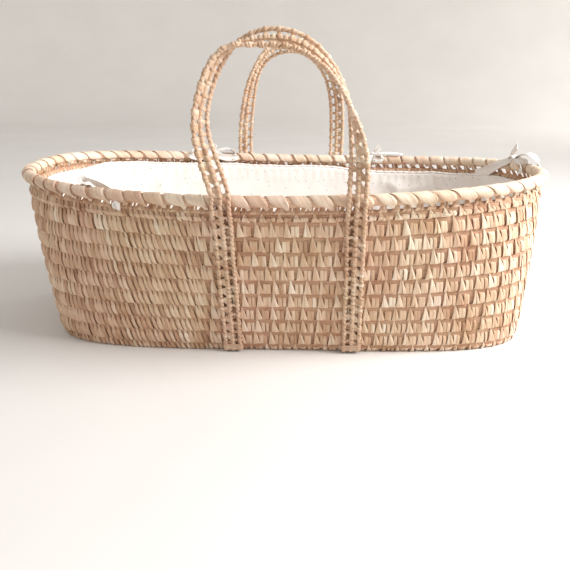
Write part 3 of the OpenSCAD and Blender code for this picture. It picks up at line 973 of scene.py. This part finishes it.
def make_liner_base():
    """The liner's floor, flat under the mattress."""
    rings, columns = 26, 160
    t = (np.arange(columns) * TAU / columns)[None]
    share = np.linspace(0, 1, rings)[:, None]
    inset = BASE_EDGE + 1.5
    shapes = []
    for level, sheet in ((10.3, 1), (8.5, -1)):
        p = wall(0, t + 0 * share, -inset)
        grown = mix(0.02, 1, share)
        p = np.stack([RIM_LEAN + (p[..., 0] - RIM_LEAN) * grown, p[..., 1] * grown,
                      level + 0.12 * np.sin(p[..., 0] * share / 19) * np.cos(p[..., 1] * share / 23)], -1)
        shapes.append(p if sheet == 1 else p[::-1])
    points = np.concatenate(shapes)
    pile = Pile()
    pile.add(points[None], points[None, ..., 0], points[None, ..., 1], [0.5], closed=True)
    sheet = pile.build("liner_floor", liner_cotton, sharp=60)
    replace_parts(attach(sheet, "basket"), "liner_base")


make_liner()
make_hem()
make_liner_base()


# ---- ties ----

TIE_W, TIE_T = 20, 0.9


def ribbon(pile, t, knots, width, seed):
    """A flat ribbon; each knot is along, out and up from the rim's centre line, and its width's direction."""
    rng = np.random.default_rng(seed)
    start = np.interp(t, rim_ring.angles, rim_ring.along)
    knots = np.array(knots, float)
    chord = along_path(knots[:, :3])
    s = np.linspace(0, chord[-1], max(10, int(chord[-1] / 1.6)))
    path = hermite(chord, knots, s)
    tangent = np.gradient(path[:, :3], s, axis=0)
    tangent /= norms(tangent)[:, None]
    side = path[:, 3:] - (path[:, 3:] * tangent).sum(1)[:, None] * tangent
    side /= norms(side)[:, None]
    normal = np.cross(tangent, side)
    c = np.linspace(-0.5, 0.5, 11)
    wide = np.interp(s, np.linspace(0, chord[-1], len(np.atleast_1d(width))), np.atleast_1d(width))
    wave = c[None] * math.pi * 2.4 + s[:, None] / 11 + rng.uniform(0, 6)
    curl = 1.1 * np.sin(wave) * np.minimum(wide / 16, 1)[:, None]
    rows = []
    for sign in (1, -1):
        edge = (wide[:, None] * c)[..., None] * side[:, None]
        lift = (curl + sign * TIE_T / 2)[..., None] * normal[:, None]
        rows.append(path[:, None, :3] + edge + lift)
    local = np.concatenate([rows[0], rows[1][:, ::-1]], axis=1)
    points = rim_place(start + local[..., 0], local[..., 2], local[..., 1])
    across = np.concatenate([wide[:, None] * c, wide[:, None] * c[::-1]], axis=1)
    pile.add(points[None], across[None], s[None, :, None] + seed * 37, [0.5])
    return chord[-1]


def make_tie(name, angle, ribbons, widths, seed):
    """A tie of folded ribbon, built as separate ribbons of the given widths."""
    pile = Pile()
    area = 0
    for i, (knots, width) in enumerate(zip(ribbons, widths)):
        area += ribbon(pile, math.radians(angle), knots, width, seed + i) * np.mean(np.atleast_1d(width))
    tie = pile.build(name + "_ribbon", tie_cotton, sharp=70)
    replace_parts(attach(tie, "basket"), name)


def knot(size, lift):
    """A short fat turn of ribbon that makes a knot, across the rim."""
    rise = np.array([0, 0.5, 0.75, 0.5, 0]) * size
    return [(size * k, 0.0, lift + r, 0, 1, 0) for k, r in zip((-1, -0.6, 0, 0.6, 1), rise)]


def bow_loop(d, length, height):
    """A bow's loop: out along the rim's top, round, and back down the rim's inner face."""
    shape = [(0.06, -1, 11.5, 0, 1, 0.3), (0.35, -3, 10.5 + height * 0.8, 0, 1, 0.2),
             (0.72, -5, 11 + height, 0, 1, 0), (0.95, -9, 10, 0, 0.9, -0.4), (1.0, -12.4, 4, 0, 0.3, 1),
             (0.75, -13, 0.5, 0, 0.1, 1), (0.35, -12.4, 3, 0, 0.2, 1), (0.08, -7.5, 9, 0, 0.6, 1)]
    return [(d * length * k, *rest) for k, *rest in shape]


def from_liner(knots):
    """The band of a tie, from the liner's edge up inside the rim to the knot."""
    return [*knots, (0, -4, 10.2, 1, 0, 0.2), (0, 0, 11, 1, 0, 0)]


make_tie("tie_back_left", 111, [
    from_liner([(4, -13, -15, 1, 0, 0), (3, -12.5, -4, 1, 0, 0), (1, -10.5, 5, 1, 0, 0)]),
    knot(7, 10.6), bow_loop(-1, 47, 6), bow_loop(1, 46, 3),
    [(-3, 0, 14, 0.4, 1, 0), (-7, 1, 19, 0.6, 1, 0), (-6, 1, 24, 1, 0.4, 0)],
    [(2, 0, 13, 1, 0, 0), (8, 7, 11, 1, 0.3, 0), (12, 12.2, 3, 1, 0.2, 0), (13, 13, -9, 1, 0, 0)],
], [13, 10, [8, 13, 14, 11], [8, 11, 12, 10], [6, 8], [8, 11]], 60)
make_tie("tie_back_right", 66, [
    from_liner([(8, -13, -19, 1, 0, 0.2), (6, -12.5, -6, 1, 0, 0.2), (2, -10.5, 4, 1, 0, 0)]),
    knot(6, 10.6), bow_loop(-1, 22, 2),
    [(-3, 0, 12.4, 0, 1, 0.1), (-20, -1, 15, 0, 1, 0.1), (-42, -1, 14, 0, 1, 0), (-58, -2, 12, 0, 1, 0)],
    [(-2, 0, 12, 0.7, 0.7, 0), (-6, 0, 19, 0.9, 0.4, 0.1), (-13, 1, 26, 1, 0.2, 0.3)],
    [(3, 1, 12, 0, 1, 0), (14, 2, 11.5, 0, 1, 0)],
], [12, 8, [7, 10], [8, 13, 13, 10], [7, 13], [8, 6]], 70)
make_tie("tie_right_end", 17, [
    from_liner([(66, -13.5, -20, 0.35, 0, 1), (48, -13.5, -14, 0.35, 0, 1), (30, -13, -5, 0.4, 0, 1),
                (13, -10.8, 4, 0.6, 0.2, 0.8)]),
    knot(8, 10.8),
    [(-4, 1, 12.4, 0, 1, 0), (-20, 2, 20, 0, 1, 0.2), (-38, 4, 23, 0, 1, 0), (-54, 8, 18, 0.2, 1, -0.5),
     (-62, 12.6, 4, 0.6, 0.3, -1), (-58, 13.4, -14, 1, 0, -0.4)],
    [(-4, -2, 13, 0, 1, 0), (-22, -5, 15, 0, 1, 0.1), (-38, -8.5, 11.5, 0.3, 1, 0.5),
     (-48, -12.6, 3, 0.8, 0.4, 0.6), (-52, -14, -8, 1, 0, 0.2)],
    [(2, 0, 13, 1, 0, 0), (4, 0.5, 21, 1, 0, 0), (0, 1.5, 28, 1, 0.2, 0), (-5, 1, 34, 1, 0.3, 0)],
], [[20, 18, 15, 11], 12, [12, 20, 26, 24, 22], [11, 18, 22, 20], [7, 11, 14]], 80)
make_tie("tie_front_left", 231, [
    from_liner([(-3, -12.6, -14, 1, 0, 0), (-3, -12.4, -4, 1, 0, 0), (-2, -10.5, 5, 1, 0, 0)]),
    [(0, -1, 10.8, 0.2, 1, 0.2), (-7, -4, 15, 0, 1, 0.3), (-6, -9, 16, 0, 1, 0.6), (4, -11.5, 12, 0, 0.6, 1),
     (20, -12.8, 7, 0, 0.2, 1), (34, -12.9, 2, 0, 0.1, 1)],
    [(56, 8.5, -6, 1, 0, 0), (62, 11.6, -11, 1, 0, 0), (66, 12, -16, 1, 0, 0)],
], [11, [8, 11, 12, 11, 10, 8], [6, 11, 3]], 90)


# ---- mattress ----

def slab(rings, columns, half_l, half_w, low, high, edge):
    """A closed slab with rounded edges, as rings from the middle of its top round to the middle below."""
    t = (np.arange(columns) * TAU / columns)[None]
    k = reach_at(t, BASE_N)
    flat = np.linspace(0.03, 1, rings)
    bend = np.linspace(0, math.pi, 9)[1:-1]
    mid, half = (low + high) / 2, (high - low) / 2
    rows = [(s, 0.0, high) for s in flat]
    rows += [(1.0, edge * math.sin(a), mid + half * math.cos(a)) for a in bend]
    rows += [(s, 0.0, low) for s in flat[::-1]]
    return np.stack([
        np.stack([RIM_LEAN + ((half_l - edge) * share + grow) * k[0] * np.cos(t[0]),
                  ((half_w - edge) * share + grow) * k[0] * np.sin(t[0]), z + 0 * t[0]], -1)
        for share, grow, z in rows])


SWELL_FRAMES = 20


def puff_up(obj, cap):
    """Swells a cushion by cloth simulation, moving no point further than cap."""
    scene = bpy.context.scene
    bpy.context.view_layer.objects.active = obj
    rest = np.array([v.co for v in obj.data.vertices])
    modifier = obj.modifiers.new("cloth", "CLOTH")
    cloth = modifier.settings
    cloth.use_pressure = True
    cloth.uniform_pressure_force = 4.0
    cloth.quality = 5
    cloth.effector_weights.gravity = 0
    modifier.point_cache.frame_start, modifier.point_cache.frame_end = 1, SWELL_FRAMES
    for moment in range(1, SWELL_FRAMES + 1):
        scene.frame_set(moment)
    swollen = obj.evaluated_get(bpy.context.evaluated_depsgraph_get())
    moved = np.array([v.co for v in swollen.data.vertices])
    obj.modifiers.remove(modifier)
    scene.frame_set(1)
    step = moved - rest
    far = norms(step)[:, None]
    step *= np.minimum(1, cap * MM / np.maximum(far, 1e-9))
    obj.data.vertices.foreach_set("co", (rest + step).astype(np.float32).ravel())
    obj.data.update()


def make_mattress():
    half_l, half_w = MATTRESS_L / 2, MATTRESS_W / 2
    low, high = MATTRESS_Z, MATTRESS_Z + MATTRESS_T
    shape = slab(34, 190, half_l - 3, half_w - 3, low + 1.0, high - 3.0, 9)
    pile = Pile()
    pile.add(shape[None], shape[None, ..., 0], shape[None, ..., 1] + shape[None, ..., 2], [0.5])
    cover = pile.build("mattress_cover_cloth", cover_cotton, sharp=180)
    puff_up(cover, 5)
    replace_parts(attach(cover, "mattress"), "mattress_cover")
    inner = Pile()
    shape = slab(20, 120, half_l - 8, half_w - 8, low + 5.0, high - 7.0, 6)
    inner.add(shape[None], shape[None, ..., 0], shape[None, ..., 1], [0.5])
    pad = inner.build("mattress_foam_slab", foam, sharp=60)
    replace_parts(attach(pad, "mattress"), "mattress_foam")
    piping = Pile()
    t = (np.arange(420) * TAU / 420)[:, None]
    a = (np.arange(8) * TAU / 8)[None]
    k = reach_at(t, BASE_N)
    for z in (low + 3.4, high - 4.6):
        reach = 1.5 * np.cos(a) - 1.2
        points = np.stack([RIM_LEAN + (half_l + reach) * k * np.cos(t), (half_w + reach) * k * np.sin(t),
                           z + 1.5 * np.sin(a) + 0 * t], -1)
        piping.add(points[None], (a * 1.5)[None], t[None] * 320, [0.5], closed=True)
    cord = piping.build("mattress_piping_cord", cover_cotton, sharp=180)
    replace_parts(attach(cord, "mattress"), "mattress_piping")


make_mattress()
